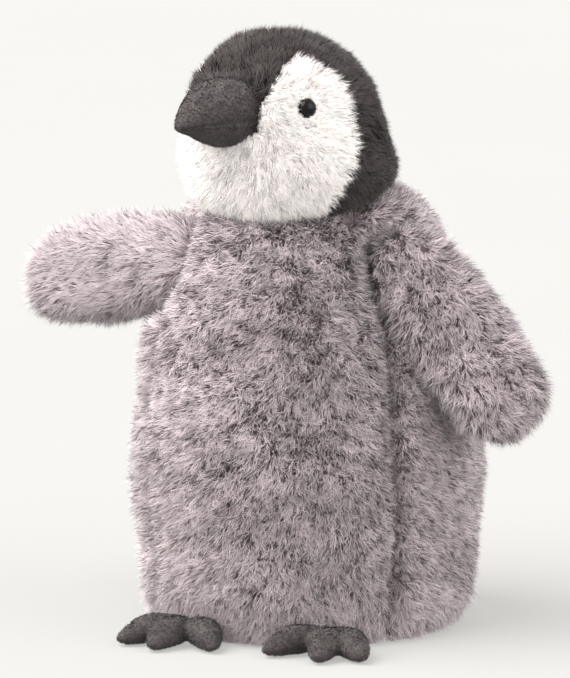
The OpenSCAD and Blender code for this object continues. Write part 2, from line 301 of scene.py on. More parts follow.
def wave(n, scale, distortion):
    """A woven or twisted pattern in the object's own space."""
    place = n.add("TexCoord").outputs["Object"]
    inputs = {"Vector": place, "Scale": scale, "Distortion": distortion}
    return n.add("TexWave", inputs).outputs["Fac"]


def backing_material(name, dark, light):
    """Knitted backing of the plush, seen only between the strands."""
    n = Nodes(name)
    knit = wave(n, 260.0, 3.0)
    n.link(n.ramp(n.noise(420.0), [(0.3, dark), (0.7, light)]), "Base Color")
    n.set(Roughness=0.95)
    n.bump(knit, 0.5, 0.6 * MM)
    return n.material


def suede_material():
    """Very short dark nap, mottled where it lies one way or the other."""
    n = Nodes("suede_nap")
    fine = n.noise(1500.0, 2.0)
    swirl = n.noise(130.0, 6.0, Distortion=1.2)
    speck = n.maths("ADD", n.maths("MULTIPLY", fine, 0.55), n.maths("MULTIPLY", swirl, 0.55))
    n.link(n.ramp(speck, [(0.38, (0.028, 0.024, 0.024)), (0.56, (0.056, 0.047, 0.047)),
                          (0.72, (0.085, 0.073, 0.071))]), "Base Color")
    n.set(Roughness=0.9, Sheen_Weight=0.12, Sheen_Roughness=0.35)
    n.bump(speck, 0.9, 1.2 * MM)
    return n.material


def eye_material():
    """Moulded black plastic, polished, with a trace of colour variation inside."""
    n = Nodes("eye_gloss")
    n.link(n.ramp(n.noise(300.0), [(0.4, (0.002,) * 3), (0.6, (0.004,) * 3)]), "Base Color")
    n.link(n.ramp(n.noise(900.0), [(0.4, (0.05,) * 3), (0.7, (0.12,) * 3)]), "Roughness")
    n.set(Coat_Weight=0.08, Coat_Roughness=0.05)
    n.shader.inputs["Specular IOR Level"].default_value = 0.14
    return n.material


def darker(colour, share):
    return tuple(c * share for c in colour)


def thread_material(name, colour):
    n = Nodes(name)
    twist = wave(n, 900.0, 1.0)
    n.link(n.ramp(twist, [(0.0, darker(colour, 0.7)), (1.0, colour)]), "Base Color")
    n.set(Roughness=0.8)
    n.bump(twist, 0.4, 0.3 * MM)
    return n.material


def plain_weave_material(name, colour):
    n = Nodes(name)
    place = n.add("TexCoord").outputs["Object"]
    weave = n.add("TexChecker", {"Vector": place, "Scale": 1600.0}).outputs["Fac"]
    n.link(n.ramp(n.noise(90.0), [(0.3, darker(colour, 0.85)), (0.7, colour)]), "Base Color")
    n.set(Roughness=0.85)
    n.bump(weave, 0.3, 0.2 * MM)
    return n.material


def moulded_material(name, colour):
    n = Nodes(name)
    n.link(n.ramp(n.noise(200.0), [(0.3, darker(colour, 0.92)), (0.7, colour)]), "Base Color")
    n.link(n.ramp(n.noise(700.0), [(0.3, (0.4,) * 3), (0.7, (0.6,) * 3)]), "Roughness")
    return n.material


# ------------------------------------------------------------------ pile

class Skin:
    """A skin's triangles, ready for roots to be scattered over it."""

    def __init__(self, obj):
        mesh = obj.data
        mesh.calc_loop_triangles()
        self.points = coordinates(obj)
        triangles = np.empty(len(mesh.loop_triangles) * 3, np.int64)
        mesh.loop_triangles.foreach_get("vertices", triangles)
        self.triangles = triangles.reshape(-1, 3)
        normals = np.empty(len(mesh.vertices) * 3)
        mesh.vertex_normals.foreach_get("vector", normals)
        self.normals = normals.reshape(-1, 3)

    def scatter(self, per_mm2, weight, rng):
        """Points on the skin and their normals. weight(points, normals) thins them, from 0 to 1."""
        a, b, c = (self.points[self.triangles[:, k]] for k in range(3))
        area = np.linalg.norm(np.cross(b - a, c - a), axis=1) / 2
        middle = (a + b + c) / 3
        flat = unit(np.cross(b - a, c - a))
        count = area * 1e6 * per_mm2 * weight(middle, flat)
        count = np.floor(count + rng.random(len(count))).astype(int)
        owner = np.repeat(np.arange(len(count)), count)
        u, v = rng.random((2, len(owner)))
        over = u + v > 1
        u[over], v[over] = 1 - u[over], 1 - v[over]
        mix = np.stack([1 - u - v, u, v], 1)[:, :, None]
        corners = self.triangles[owner]
        points = (self.points[corners] * mix).sum(1)
        normals = unit((self.normals[corners] * mix).sum(1))
        return points, normals


# A strand is a ribbon of five vertices: a four-cornered face and then a pointed one
LEVELS = np.array([0.0, 0.55, 1.0])
LEVEL_WIDTH = np.array([1.0, 0.85])
VERTS_EACH = 5
CORNERS = np.array([0, 1, 3, 2, 2, 3, 4])
FACE_STARTS = np.array([0, 4])
VERT_LEVELS = LEVELS[[0, 0, 1, 1, 2]]
VERT_SIDES = np.array([0.2, 0.8, 0.2, 0.8, 0.5])
SOFT_SHADING = 0.45


def ribbon_vertices(root, bend, tip, width, facing):
    """Each strand's vertices, along a curve from root by way of bend to tip."""
    t = LEVELS[None, :, None]
    curve = root[:, None] * (1 - t) ** 2 + 2 * bend[:, None] * t * (1 - t) + tip[:, None] * t ** 2
    side = unit(np.cross(unit(tip - root), facing))
    half = side[:, None] * (width[:, None] * LEVEL_WIDTH)[:, :, None] / 2
    verts = np.empty((len(root), VERTS_EACH, 3))
    verts[:, 0:4:2] = curve[:, :2] - half
    verts[:, 1:4:2] = curve[:, :2] + half
    verts[:, 4] = curve[:, 2]
    verts[:, :, 2] = np.maximum(verts[:, :, 2], FLOOR_GAP)
    return verts


def ribbon_mesh(name, verts):
    n = len(verts)
    mesh = bpy.data.meshes.new(name)
    mesh.vertices.add(n * VERTS_EACH)
    mesh.vertices.foreach_set("co", verts.ravel())
    loops = (np.arange(n)[:, None] * VERTS_EACH + CORNERS).ravel()
    mesh.loops.add(len(loops))
    mesh.loops.foreach_set("vertex_index", loops.astype(np.int32))
    mesh.polygons.add(n * len(FACE_STARTS))
    starts = (np.arange(n)[:, None] * len(CORNERS) + FACE_STARTS).ravel()
    mesh.polygons.foreach_set("loop_start", starts.astype(np.int32))
    mesh.update(calc_edges=True)
    mesh.polygons.foreach_set("use_smooth", np.ones(n * len(FACE_STARTS), bool))
    return mesh


def mark_strands(mesh, own, tuft):
    """What the pile's material reads: the place along a strand, its own tint and its tuft's."""
    n = len(own)
    data = np.empty((n, VERTS_EACH, 3))
    data[:, :, 0] = VERT_LEVELS
    data[:, :, 1] = own[:, None]
    data[:, :, 2] = tuft[:, None]
    mesh.attributes.new("strand", "FLOAT_VECTOR", "POINT").data.foreach_set("vector", data.ravel())


def give_cells(mesh, n):
    """Each strand has a small cell of its own in the layer that the colours are kept in."""
    columns = max(int(math.sqrt(n * 3)), 1)
    rows = -(-n // columns)
    cell = np.stack([np.arange(n) % columns, np.arange(n) // columns], 1)[:, None]
    place = np.stack([VERT_SIDES, 0.1 + 0.8 * VERT_LEVELS], 1)
    uv = ((cell + place[CORNERS]) / [columns, rows]).ravel()
    mesh.uv_layers.new(name="OFBake").data.foreach_set("uv", uv)


def strands_object(name, verts, facing, normal, own, tuft, material):
    """The ribbons as one object, shaded mostly as the skin under them is, as soft pile looks."""
    mesh = ribbon_mesh(name, verts)
    mark_strands(mesh, own, tuft)
    give_cells(mesh, len(verts))
    shading = unit(normal + SOFT_SHADING * unit(facing))
    mesh.normals_split_custom_set_from_vertices(np.repeat(shading, VERTS_EACH, axis=0))
    mesh.materials.append(material)
    obj = bpy.data.objects.new(name, mesh)
    bpy.context.collection.objects.link(obj)
    return obj


def combed(way, normals, swirl):
    """The way the pile points, laid on the skin and turned there by swirl, in degrees."""
    return turned(on_surface(way, normals), normals, np.radians(swirl))


def no_shade(points):
    return np.zeros(len(points))


def everywhere(points, normals):
    return np.ones(len(points))


ROOT_DEPTH = 0.6 * MM
STRAY = 0.11
CURL = 0.62


def grow(name, skin, body, material, *, per_mm2, weight, comb, length, rise, shade=no_shade,
         width=0.23, tuft_size=0.9, each=10, wander=26, seed=0):
    """Pile on a skin, in tufts of so many strands each. Lengths are in mm, angles in degrees.

    comb(points, normals) gives the way the pile lies; length and rise are functions too, and
    shade(points) darkens the tufts of a region as painted shade, from 0 to 1; below 0 it lightens
    them as painted light.
    """
    rng = np.random.default_rng(SEED + seed)
    centre, normal = skin.scatter(per_mm2 / each, weight, rng)
    way = on_surface(comb(centre, normal), normal)
    way = turned(way, normal, np.radians(rng.normal(0, wander, len(centre))))
    long = length(centre, normal) * MM * rng.uniform(0.88, 1.08, len(centre))
    tilt = np.clip(rise(centre, normal) + rng.normal(0, 8, len(centre)), 12, 85)
    tilt = np.radians(tilt)[:, None]
    lay = way * np.cos(tilt) + normal * np.sin(tilt)
    tint = 0.55 + 0.3 * noise(centre, 9 * MM, 31 + seed) + rng.normal(0, 0.13, len(centre))
    # Painted shade from shade(), or painted light where it is below 0
    tint = np.clip(tint - shade(centre), 0, 1)

    again = np.repeat(np.arange(len(centre)), each)
    n = len(again)
    across = on_surface(rng.normal(size=(n, 3)), normal[again])
    offset = across * (tuft_size * MM * np.sqrt(rng.random(n)) * 1.5)[:, None]
    long = (long[again] * rng.uniform(0.72, 1.03, n))[:, None]
    root = centre[again] + offset - normal[again] * ROOT_DEPTH
    stray = rng.normal(0, STRAY, (n, 3)) * long
    tip = centre[again] + offset * 0.75 + lay[again] * long + stray
    bend = root + normal[again] * long * CURL + stray * 0.2
    facing = unit(normal[again] + rng.normal(0, 0.4, (n, 3)))
    wide = width * MM * rng.uniform(0.75, 1.3, n)
    verts = ribbon_vertices(root, bend, tip, wide, facing)
    obj = strands_object(name, verts, facing, normal[again], rng.random(n), tint[again], material)
    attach(obj, body)
    return obj


# ------------------------------------------------------------------ materials in use

# Base colours are linear
BODY_PILE = pile_material(
    "body_pile", root=(0.11, 0.080, 0.088), middle=(0.35, 0.285, 0.300), tip=(0.68, 0.595, 0.618),
    pale=(0.88, 0.80, 0.82), streak=0.36)
CAP_PILE = pile_material(
    "cap_pile", root=(0.015, 0.012, 0.012), middle=(0.032, 0.026, 0.0255),
    tip=(0.058, 0.047, 0.046), pale=(0.082, 0.068, 0.066), streak=0.34, sheen=0.12)
# The white face's strands glow: painted light given out by the pile itself
FACE_PILE = pile_material(
    "face_pile", root=(0.79, 0.735, 0.70), middle=(0.80, 0.76, 0.735), tip=(0.81, 0.775, 0.755),
    pale=(0.82, 0.79, 0.77), streak=0.03, glow=0.21)
NAP_PILE = pile_material(
    "nap_pile", root=(0.022, 0.018, 0.018), middle=(0.047, 0.039, 0.039), tip=(0.080, 0.067, 0.066),
    pale=(0.104, 0.090, 0.088), streak=0.42, sheen=0.08)
BODY_BACKING = backing_material("body_backing", (0.15, 0.112, 0.122), (0.22, 0.175, 0.185))
CAP_BACKING = backing_material("cap_backing", (0.022, 0.018, 0.018), (0.036, 0.030, 0.029))
FACE_BACKING = backing_material("face_backing", (0.88, 0.82, 0.77), (0.94, 0.90, 0.87))
SUEDE = suede_material()
EYE = eye_material()
WASHER = moulded_material("washer_plastic", (0.62, 0.62, 0.58))


# ------------------------------------------------------------------ torso

SEAM_ANGLE = 52.0
FRONT_SEAMS = (-SEAM_ANGLE, SEAM_ANGLE)
BACK_SEAM = 180.0
TORSO_SEAMS = (*FRONT_SEAMS, BACK_SEAM)
GROOVE_DEPTH = 4.6 * MM
GROOVE_WIDTH = 6 * MM
ARM_FOLD = 0.55
WING_BACK = 9.5 * MM
WING_HOLLOW = (19 * MM, 33 * MM)
SEAM_HOLD = 3.5 * MM
TORSO_LENGTH = 6.6
FRINGE_LENGTH = 3.4
BODY_RISE = 62
BODY_STRETCH = 3 * MM
TORSO_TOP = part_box("body_front_panel")[1][2]
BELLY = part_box("body_left_panel")[1][0]


def wing_frame(side):
    """Pivot, then unit vectors out of the wing's face, along it when level, and up its face."""
    joint = JOINTS[side + "_wing_flap"]
    pivot = np.array(joint["pos_m"])
    out = unit(joint["axis"])
    if out[1] > 0:
        out = -out
    level = unit(np.cross((0, 0, 1), out))
    if level[0] * pivot[0] < 0:
        level = -level
    up = np.cross(out, level)
    if up[2] < 0:
        up = -up
    return pivot, out, level, up


def torso_outline():
    """Radius and height from the middle of the base up to the neck."""
    r, h = BELLY, TORSO_TOP
    return spline([
        (0, 0.5 * MM), (r * 0.45, 0.5 * MM), (r * 0.78, 0.8 * MM), (r * 0.88, h * 0.018),
        (r * 0.925, h * 0.06), (r * 0.96, h * 0.15), (r * 0.985, h * 0.27), (r * 1.0, h * 0.40),
        (r * 0.985, h * 0.53), (r * 0.94, h * 0.66), (r * 0.87, h * 0.78), (r * 0.80, h * 0.88),
        (r * 0.72, h * 0.95), (r * 0.60, h * 0.99), (r * 0.42, h * 1.012), (r * 0.2, h * 1.015),
        (0, h * 1.015),
    ], 2.6 * MM)


def seam_distance(points):
    """Metres along the skin to the nearest of the seams, which run up the torso at set angles."""
    around = angle_around(points)
    radius = np.hypot(points[:, 0], points[:, 1])
    gaps = [np.abs((around - s + 180) % 360 - 180) for s in TORSO_SEAMS]
    return np.radians(np.min(gaps, axis=0)) * radius


def torso_lumps(points):
    """How far the stuffing swells the even outline: more low down, and at the toy's left."""
    around, height = angle_around(points), points[:, 2]
    lumps = (1.6 + 0.8 * bump(height - 45 * MM, 35 * MM)) * MM
    lumps += 1.5 * MM * bump(around - 110, 40) * bump(height - 70 * MM, 50 * MM)
    lumps -= 0.9 * MM * bump(around + 70, 35) * bump(height - 35 * MM, 40 * MM)
    return lumps + noise(points, 55 * MM, 3) * 1.3 * MM + noise(points, 24 * MM, 4) * 0.5 * MM


def hollow_for_wings(points):
    """The torso's wall pressed in behind each wing's root."""
    for side in SIDES:
        pivot, out, level, up = wing_frame(side)
        arm = points - pivot
        rise = arm @ out + WING_BACK
        near = 1 - smoothstep(np.hypot(arm @ level, arm @ up), *WING_HOLLOW)
        front = points @ level > 0
        points = points - out * (np.maximum(rise, 0) * near * front)[:, None]
    return points


def torso_skin():
    vertices, faces = revolved(torso_outline(), 168)
    obj = make_object("torso_skin", vertices, faces, BODY_BACKING)
    points = coordinates(obj)
    around, height = angle_around(points), points[:, 2]
    wall = smoothstep(height, 4 * MM, 20 * MM)
    outward = unit(points * [1, 1, 0])
    points = points + outward * (torso_lumps(points) * wall)[:, None]
    seams = seam_distance(points)
    fold = 1 + ARM_FOLD * bump(height - 120 * MM, 45 * MM) * (around > 0)
    groove = bump(seams, GROOVE_WIDTH) * GROOVE_DEPTH * fold * wall
    set_coordinates(obj, points - outward * groove[:, None])
    held = np.maximum(bump(seams, SEAM_HOLD), 1 - smoothstep(points[:, 2], 3 * MM, 12 * MM))
    stuffed(obj, held, 4.0, BODY_STRETCH)
    set_coordinates(obj, hollow_for_wings(coordinates(obj)))
    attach(obj, "torso")
    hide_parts("body_front_panel", "body_left_panel", "body_right_panel", "base_panel",
                "body_filling")
    return obj


def torso_comb(points, normals):
    """Down, with small swirls, and away from the seams on both sides of them."""
    way = np.tile([0.0, 0.0, -1.0], (len(points), 1))
    around = angle_around(points)
    sideways = np.stack([np.cos(np.radians(around)), np.sin(np.radians(around)), 0 * around], 1)
    push = np.zeros(len(points))
    for s in TORSO_SEAMS:
        gap = (around - s + 180) % 360 - 180
        push += np.sign(gap) * bump(np.radians(gap) * np.hypot(points[:, 0], points[:, 1]), 9 * MM)
    side_flow = np.sign(around) * smoothstep(np.abs(around), 50, 75) * 0.35
    way = way + sideways * (push + side_flow)[:, None]
    for side in SIDES:
        pivot, _, level, up = wing_frame(side)
        arm = points - pivot
        near = 1 - smoothstep(np.hypot(arm @ level, arm @ up), 24 * MM, 40 * MM)
        way = way + level * (near * 1.6 * (arm @ level > -5 * MM))[:, None]
    swirl = noise(points, 30 * MM, 5) * 26 + noise(points, 9 * MM, 6) * 34
    calm = 1 - 0.6 * smoothstep(-points[:, 2], -30 * MM, -5 * MM)
    return combed(way, normals, swirl * calm)


def torso_length(points, normals):
    """Short in the seams, and longest at the bottom, where it hangs over the feet."""
    seams = seam_distance(points)
    long = TORSO_LENGTH + 0.5 * noise(points, 40 * MM, 8)
    long = long * (1 - 0.50 * bump(seams, SEAM_HOLD))
    return long + FRINGE_LENGTH * (1 - smoothstep(points[:, 2], 8 * MM, 30 * MM))


def torso_rise(points, normals):
    """Degrees up from the skin: about upright in small patches, and lying down at the fringe."""
    low = 1 - smoothstep(points[:, 2], 6 * MM, 30 * MM)
    return BODY_RISE + 15 * noise(points, 5.5 * MM, 9) - 18 * low


def torso_shade(points):
    """Painted shade in the seams' grooves; darker over the middle of the chest, where the pile has
    been brushed up, and, as painted shadow of the head, over the top of the chest.
    """
    seams = seam_distance(points)
    height = points[:, 2]
    # The second bump, high on the chest, is painted shadow of the head
    up_chest = 0.32 * bump(height - 110 * MM, 60 * MM) + 0.26 * bump(height - 166 * MM, 28 * MM)
    return 0.75 * bump(seams, 4 * MM) + bump(angle_around(points) - 24, 30) * up_chest


def torso_weight(low, high, bottom, top):
    """Where one stretch of the torso's pile grows: between two angles and two heights."""
    def weight(points, normals):
        around = angle_around(points)
        span = (around >= low) & (around < high)
        if high > 180:
            span |= around < high - 360
        radius = np.hypot(points[:, 0], points[:, 1])
        inside = span & (points[:, 2] >= bottom) & (points[:, 2] < top) & (normals[:, 2] > -0.8)
        return inside * smoothstep(radius, 22 * MM, 30 * MM)
    return weight


def build_torso():
    obj = torso_skin()
    skin = Skin(obj)
    stretches = (("front", -SEAM_ANGLE, SEAM_ANGLE), ("left", SEAM_ANGLE, 180),
                 ("right", -180, -SEAM_ANGLE))
    thirds = (("lower", 0.0, TORSO_TOP * 0.31), ("middle", TORSO_TOP * 0.31, TORSO_TOP * 0.62),
              ("upper", TORSO_TOP * 0.62, 1.0))
    seed = 0
    for label, low, high in stretches:
        for part, bottom, top in thirds:
            seed += 1
            grow(f"pile_{label}_{part}", skin, "torso", BODY_PILE, per_mm2=5.5,
                 weight=torso_weight(low, high, bottom, top), comb=torso_comb, length=torso_length,
                 rise=torso_rise, shade=torso_shade, tuft_size=0.6, each=5, wander=42, seed=seed)


# ------------------------------------------------------------------ head

HEAD_LEAN = 11.0
EYE_ANGLE = 60.0
EYE_HEIGHT = 48 * MM
EYE_CLEAR = (3.6 * MM, 5.2 * MM)
CAP_LENGTH = 5.8
FACE_LENGTH = 6.0
NECK = np.array(JOINTS["head_turn"]["pos_m"])
HEAD_SIDE = unit(JOINTS["head_nod"]["axis"])
HEAD_TURN = math.degrees(math.atan2(HEAD_SIDE[1], HEAD_SIDE[0]))
HEAD_AXES = rotation((0, 0, 1), HEAD_TURN) @ rotation((1, 0, 0), HEAD_LEAN)
HEAD_HEIGHT = 70.5 * MM
HEAD_RADIUS = 41 * MM
BEAK_ROOT = np.array([0, -33, 48.6]) * MM

# The white face's edges: metres behind and in front of a line seen from CHEEK_VIEW, at each height
CHEEK_VIEW = 60.0
CHEEK_Z = np.array([-10, 8, 13, 20, 27, 34, 41, 48, 53, 58, 62, 64.5, 64.6]) * MM
CHEEK_REAR = np.array([-8, 3, 8, 13.5, 16.6, 18, 18.3, 17.4, 15.6, 12.4, 8.2, 2.5, -60]) * MM
CHEEK_FRONT = np.array([-60, -60, -60, -60, -60, -60, -21.5, -20, -18, -12.5, -7.5, 0, 60]) * MM
CHIN_ANGLE = 28.0
CHIN_TOP = 37 * MM
FAR_BROW_CUT = 14 * MM


def to_head(points):
    """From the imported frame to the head's own: its axis up, its beak towards -Y."""
    return (points - NECK) @ HEAD_AXES


def from_head(points):
    return points @ HEAD_AXES.T + NECK


def head_outline():
    r, h = HEAD_RADIUS, HEAD_HEIGHT
    return spline([
        (0, 2 * MM), (r * 0.45, 2 * MM), (r * 0.80, 3 * MM), (r * 0.95, 7 * MM), (r * 1.0, 14 * MM),
        (r * 0.995, 24 * MM), (r * 0.965, 33 * MM), (r * 0.925, 41 * MM), (r * 0.865, 48 * MM),
        (r * 0.775, 55 * MM), (r * 0.64, 61 * MM), (r * 0.46, h - 4.2 * MM),
        (r * 0.24, h - 1.0 * MM), (0, h),
    ], 2.0 * MM)


def own_side(local):
    """1 on the head's own left, -1 on its right."""
    return np.sign(local[:, 0] + 1e-9)


def cheek_edge(local):
    """How far, in metres, a head point is inside the white face, negative outside it.

    The right cheek's brow is cut lower and narrower, as none of it shows past the beak.
    """
    side = own_side(local)
    angle = np.radians(CHEEK_VIEW) * side
    across = (local[:, 0] * np.cos(angle) + local[:, 1] * np.sin(angle)) * side
    z = local[:, 2]
    rear = np.interp(z, CHEEK_Z, CHEEK_REAR)
    front = np.interp(z, CHEEK_Z, CHEEK_FRONT)
    inside = np.minimum(rear - across, across - front)
    around = np.abs(angle_around(local))
    chin = np.minimum((CHIN_ANGLE - around) * 0.7 * MM, CHIN_TOP - z)
    far_brow = smoothstep(z, 33 * MM, 45 * MM) * smoothstep(-across, -8 * MM, 8 * MM)
    far_brow = np.maximum(far_brow, smoothstep(z, 54 * MM, 60 * MM)) * (side < 0)
    cheek = np.where(around < 150, inside, -0.05) - far_brow * FAR_BROW_CUT
    return np.maximum(cheek, chin)


def head_shape(local):
    """The even head with its brow, cheeks, nape, and the crease over the beak."""
    around, height = np.abs(angle_around(local)), local[:, 2]
    outward = unit(local - [0, 0, 25 * MM])
    brow = bump(around, 46) * bump(height - 54 * MM, 9 * MM) * 5.8 * MM
    cheeks = bump(around - 58, 34) * bump(height - 20 * MM, 13 * MM) * 1.2 * MM
    behind = smoothstep(around, 80, 115)
    nape = behind * (2.7 - 4.0 * (1 - smoothstep(height, 6 * MM, 20 * MM))) * MM
    swell = brow + cheeks - nape + noise(local, 30 * MM, 12) * 0.7 * MM
    local = local + outward * swell[:, None]
    from_beak = np.linalg.norm(local - BEAK_ROOT, axis=1)
    crease = bump(from_beak - 17 * MM, 3.5 * MM) * (local[:, 2] > BEAK_ROOT[2])
    return local - outward * (crease * 1.8 * MM)[:, None]


def head_skin():
    vertices, faces = revolved(head_outline(), 132)
    obj = make_object("head_skin", vertices, faces, CAP_BACKING)
    obj.data.materials.append(FACE_BACKING)
    local = head_shape(coordinates(obj))
    set_coordinates(obj, local)
    edge = np.abs(cheek_edge(local))
    held = np.maximum(bump(edge, 2.5 * MM), 1 - smoothstep(local[:, 2], 3 * MM, 8 * MM))
    stuffed(obj, held, 3.0, 1.5 * MM)
    local = coordinates(obj)
    middle = np.array([local[list(f.vertices)].mean(0) for f in obj.data.polygons])
    white = (cheek_edge(middle) > 0).astype(np.int32)
    obj.data.polygons.foreach_set("material_index", white)
    set_coordinates(obj, from_head(local))
    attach(obj, "head")
    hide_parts("crown_panel", "cap_left_panel", "cap_right_panel", "face_left_panel",
                "face_right_panel", "chin_panel", "head_filling")
    return obj


def head_point(angle, height):
    """A point on the head's skin, at an angle from straight ahead and a height up its axis."""
    outline = head_outline()
    wall = outline[outline[:, 0] > HEAD_RADIUS * 0.3]
    r = np.interp(height, wall[:, 1], wall[:, 0])
    a = math.radians(angle)
    return np.array([r * math.sin(a), -r * math.cos(a), height])


def clear_of_beak(local):
    """0 where the beak is sewn on, 1 away from it."""
    from_beak = local - BEAK_ROOT
    oval = np.hypot(from_beak[:, 0] / 1.3, from_beak[:, 2])
    return np.where(local[:, 1] < 0, smoothstep(oval, 11 * MM, 13.5 * MM), 1)


def clear_of_eyes(local, near, far):
    """0 within near of an eye's middle, 1 beyond far."""
    gap = np.full(len(local), 1.0)
    for side in (-1, 1):
        eye = head_point(side * EYE_ANGLE, EYE_HEIGHT)
        gap = np.minimum(gap, smoothstep(np.linalg.norm(local - eye, axis=1), near, far))
    return gap


def cap_comb(points, normals):
    """From the beak back over the crown, and down the sides and the back."""
    local = to_head(points)
    back = np.tile([0.0, 1.0, 0.0], (len(local), 1))
    down = np.tile([0.0, 0.0, -1.0], (len(local), 1))
    high = smoothstep(local[:, 2], 50 * MM, 66 * MM)[:, None]
    front = smoothstep(-local[:, 1], 5 * MM, 25 * MM)[:, None] * (1 - high)
    way = back * (0.35 + 0.6 * high) + down * (1 - high) * (1 - 1.2 * front)
    way = way + np.array([0.0, 0.6, 0.5]) * front
    side = np.sign(local[:, :1]) * smoothstep(np.abs(local[:, :1]), 2 * MM, 10 * MM)
    way = way + side * np.array([0.55, 0, 0]) * front
    way = way @ HEAD_AXES.T
    swirl = noise(points, 17 * MM, 13) * 34 + noise(points, 8 * MM, 14) * 26
    return combed(way, normals, swirl)


def face_comb(points, normals):
    """Away from the beak on all sides of it, and down under it."""
    local = to_head(points)
    way = unit(local - BEAK_ROOT) + np.array([0.0, 0.0, -0.25])
    way = way @ HEAD_AXES.T
    swirl = noise(points, 15 * MM, 15) * 20 + noise(points, 6 * MM, 16) * 16
    return combed(way, normals, swirl)


def head_weight(white, half):
    """Where the white or the charcoal pile grows; half is -1 or 1 for one side of the head."""
    def weight(points, normals):
        local = to_head(points)
        edge = cheek_edge(local) + noise(points, 6 * MM, 17) * 0.7 * MM
        here = (edge > 0 if white else edge <= 0) & (own_side(local) == half)
        above_neck = smoothstep(local[:, 2], 2.5 * MM, 4 * MM)
        return here * above_neck * clear_of_beak(local) * clear_of_eyes(local, *EYE_CLEAR)
    return weight


def cap_shade(points):
    """Painted shade over the crown, which the lamps light more, and painted light down the sides,
    which they light less.
    """
    high = smoothstep(to_head(points)[:, 2], 50 * MM, 66 * MM)
    return 0.6 * high - 0.38


def cap_length(points, normals):
    """In mm, shorter where the cap meets the beak."""
    local = to_head(points)
    long = CAP_LENGTH + 0.5 * noise(points, 25 * MM, 18)
    from_beak = np.linalg.norm(local - BEAK_ROOT, axis=1)
    return long * (0.62 + 0.38 * smoothstep(from_beak, 14 * MM, 24 * MM))


def face_length(points, normals):
    """In mm, shorter round the eyes and where the face meets the beak."""
    local = to_head(points)
    long = FACE_LENGTH + 0.4 * noise(points, 20 * MM, 19)
    long = long * (0.5 + 0.5 * clear_of_eyes(local, 5 * MM, 12 * MM))
    from_beak = np.linalg.norm(local - BEAK_ROOT, axis=1)
    return long * (0.6 + 0.4 * smoothstep(from_beak, 13 * MM, 22 * MM))


def head_rise(points, normals):
    return 58 + 11 * noise(points, 7 * MM, 20)


def build_head():
    obj = head_skin()
    skin = Skin(obj)
    for label, half in (("left", 1), ("right", -1)):
        grow(f"pile_cap_{label}", skin, "head", CAP_PILE, per_mm2=7.0,
             weight=head_weight(False, half), comb=cap_comb, length=cap_length, rise=head_rise,
             shade=cap_shade, tuft_size=0.8, seed=20 + half)
        grow(f"pile_face_{label}", skin, "head", FACE_PILE, per_mm2=9.0,
             weight=head_weight(True, half), comb=face_comb, length=face_length, rise=head_rise,
             width=0.21, tuft_size=0.7, seed=30 + half)


# ------------------------------------------------------------------ beak and eyes

BEAK_RISE = 10.0
BEAK_LENGTH = 31.0 * MM
BEAK_DROP = 4.0 * MM
BEAK_SUNK = 0.28
BEAK_HALF_WIDTH = 17.2 * MM
BEAK_ABOVE = 13.0 * MM
BEAK_BELOW = 15.2 * MM
BEAK_BLUNT = 1.1 * MM
BEAK_SEAM = math.radians(-14)
NAP_LENGTH = 1.1
NAP_RISE = 38.0


def superellipse(angle, power):
    """Across and up on a unit oval, squarer as the power falls."""
    c, s = np.cos(angle), np.sin(angle)
    return np.sign(c) * np.abs(c) ** power, np.sign(s) * np.abs(s) ** power


def beak_vertices(around, rings):
    """A rounded upper panel and a flatter lower gusset, with a seam ridge along each side."""
    s = np.linspace(-BEAK_SUNK, 1, rings)
    reach = np.clip(s, 0, 1)
    blunt = BEAK_BLUNT * np.sqrt(np.clip(1 - reach, 0, 1))
    half_width = BEAK_HALF_WIDTH * (1 - reach ** 1.6) ** 0.85 + blunt
    above = BEAK_ABOVE * (1 - reach ** 1.7) ** 0.85 + blunt
    below = BEAK_BELOW * (1 - reach ** 1.35) ** 0.95 + blunt
    angles = np.linspace(0, 2 * math.pi, around, endpoint=False)
    gap = np.minimum(np.abs(angles - (BEAK_SEAM % (2 * math.pi))),
                     np.abs(angles - (math.pi - BEAK_SEAM)))
    ridge = bump(gap, 0.05) * 1.2 * MM - bump(gap, 0.17) * 0.8 * MM
    vertices = []
    for i in range(rings):
        x, z = superellipse(angles, 0.92)
        x = x * half_width[i]
        z = np.where(z > 0, z * above[i], z * below[i])
        grow_out = 1 + ridge / np.maximum(np.hypot(x, z), 4 * MM)
        y = np.full(around, -s[i] * BEAK_LENGTH)
        vertices += list(np.stack([x * grow_out, y, z * grow_out - BEAK_DROP * reach[i] ** 2], 1))
    vertices += [(0, -s[0] * BEAK_LENGTH, 0), (0, -BEAK_LENGTH - 0.4 * MM, -BEAK_DROP)]
    return np.array(vertices) @ rotation((1, 0, 0), -BEAK_RISE).T + BEAK_ROOT


def beak_shade(points):
    """Painted shade over the upper panel, which the lamps light more, and a little painted light
    under it.
    """
    return 0.95 * smoothstep(to_head(points)[:, 2] - BEAK_ROOT[2], -3 * MM, 5 * MM) - 0.3


def build_beak():
    around, rings = 96, 44
    local = beak_vertices(around, rings)
    obj = make_object("beak_suede", from_head(local), loft_faces(rings, around), SUEDE)
    flip_faces(obj)
    points = coordinates(obj)
    set_coordinates(obj, points + noise(points, 12 * MM, 41)[:, None] * 0.25 * MM)
    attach(obj, "head")
    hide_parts("beak_upper", "beak_lower", "beak_filling")
    nap(obj, "beak_nap", "head", 50, beak_shade)


def flip_faces(obj):
    """All faces turned to look outwards."""
    work = bmesh.new()
    work.from_mesh(obj.data)
    bmesh.ops.recalc_face_normals(work, faces=work.faces)
    work.to_mesh(obj.data)
    work.free()


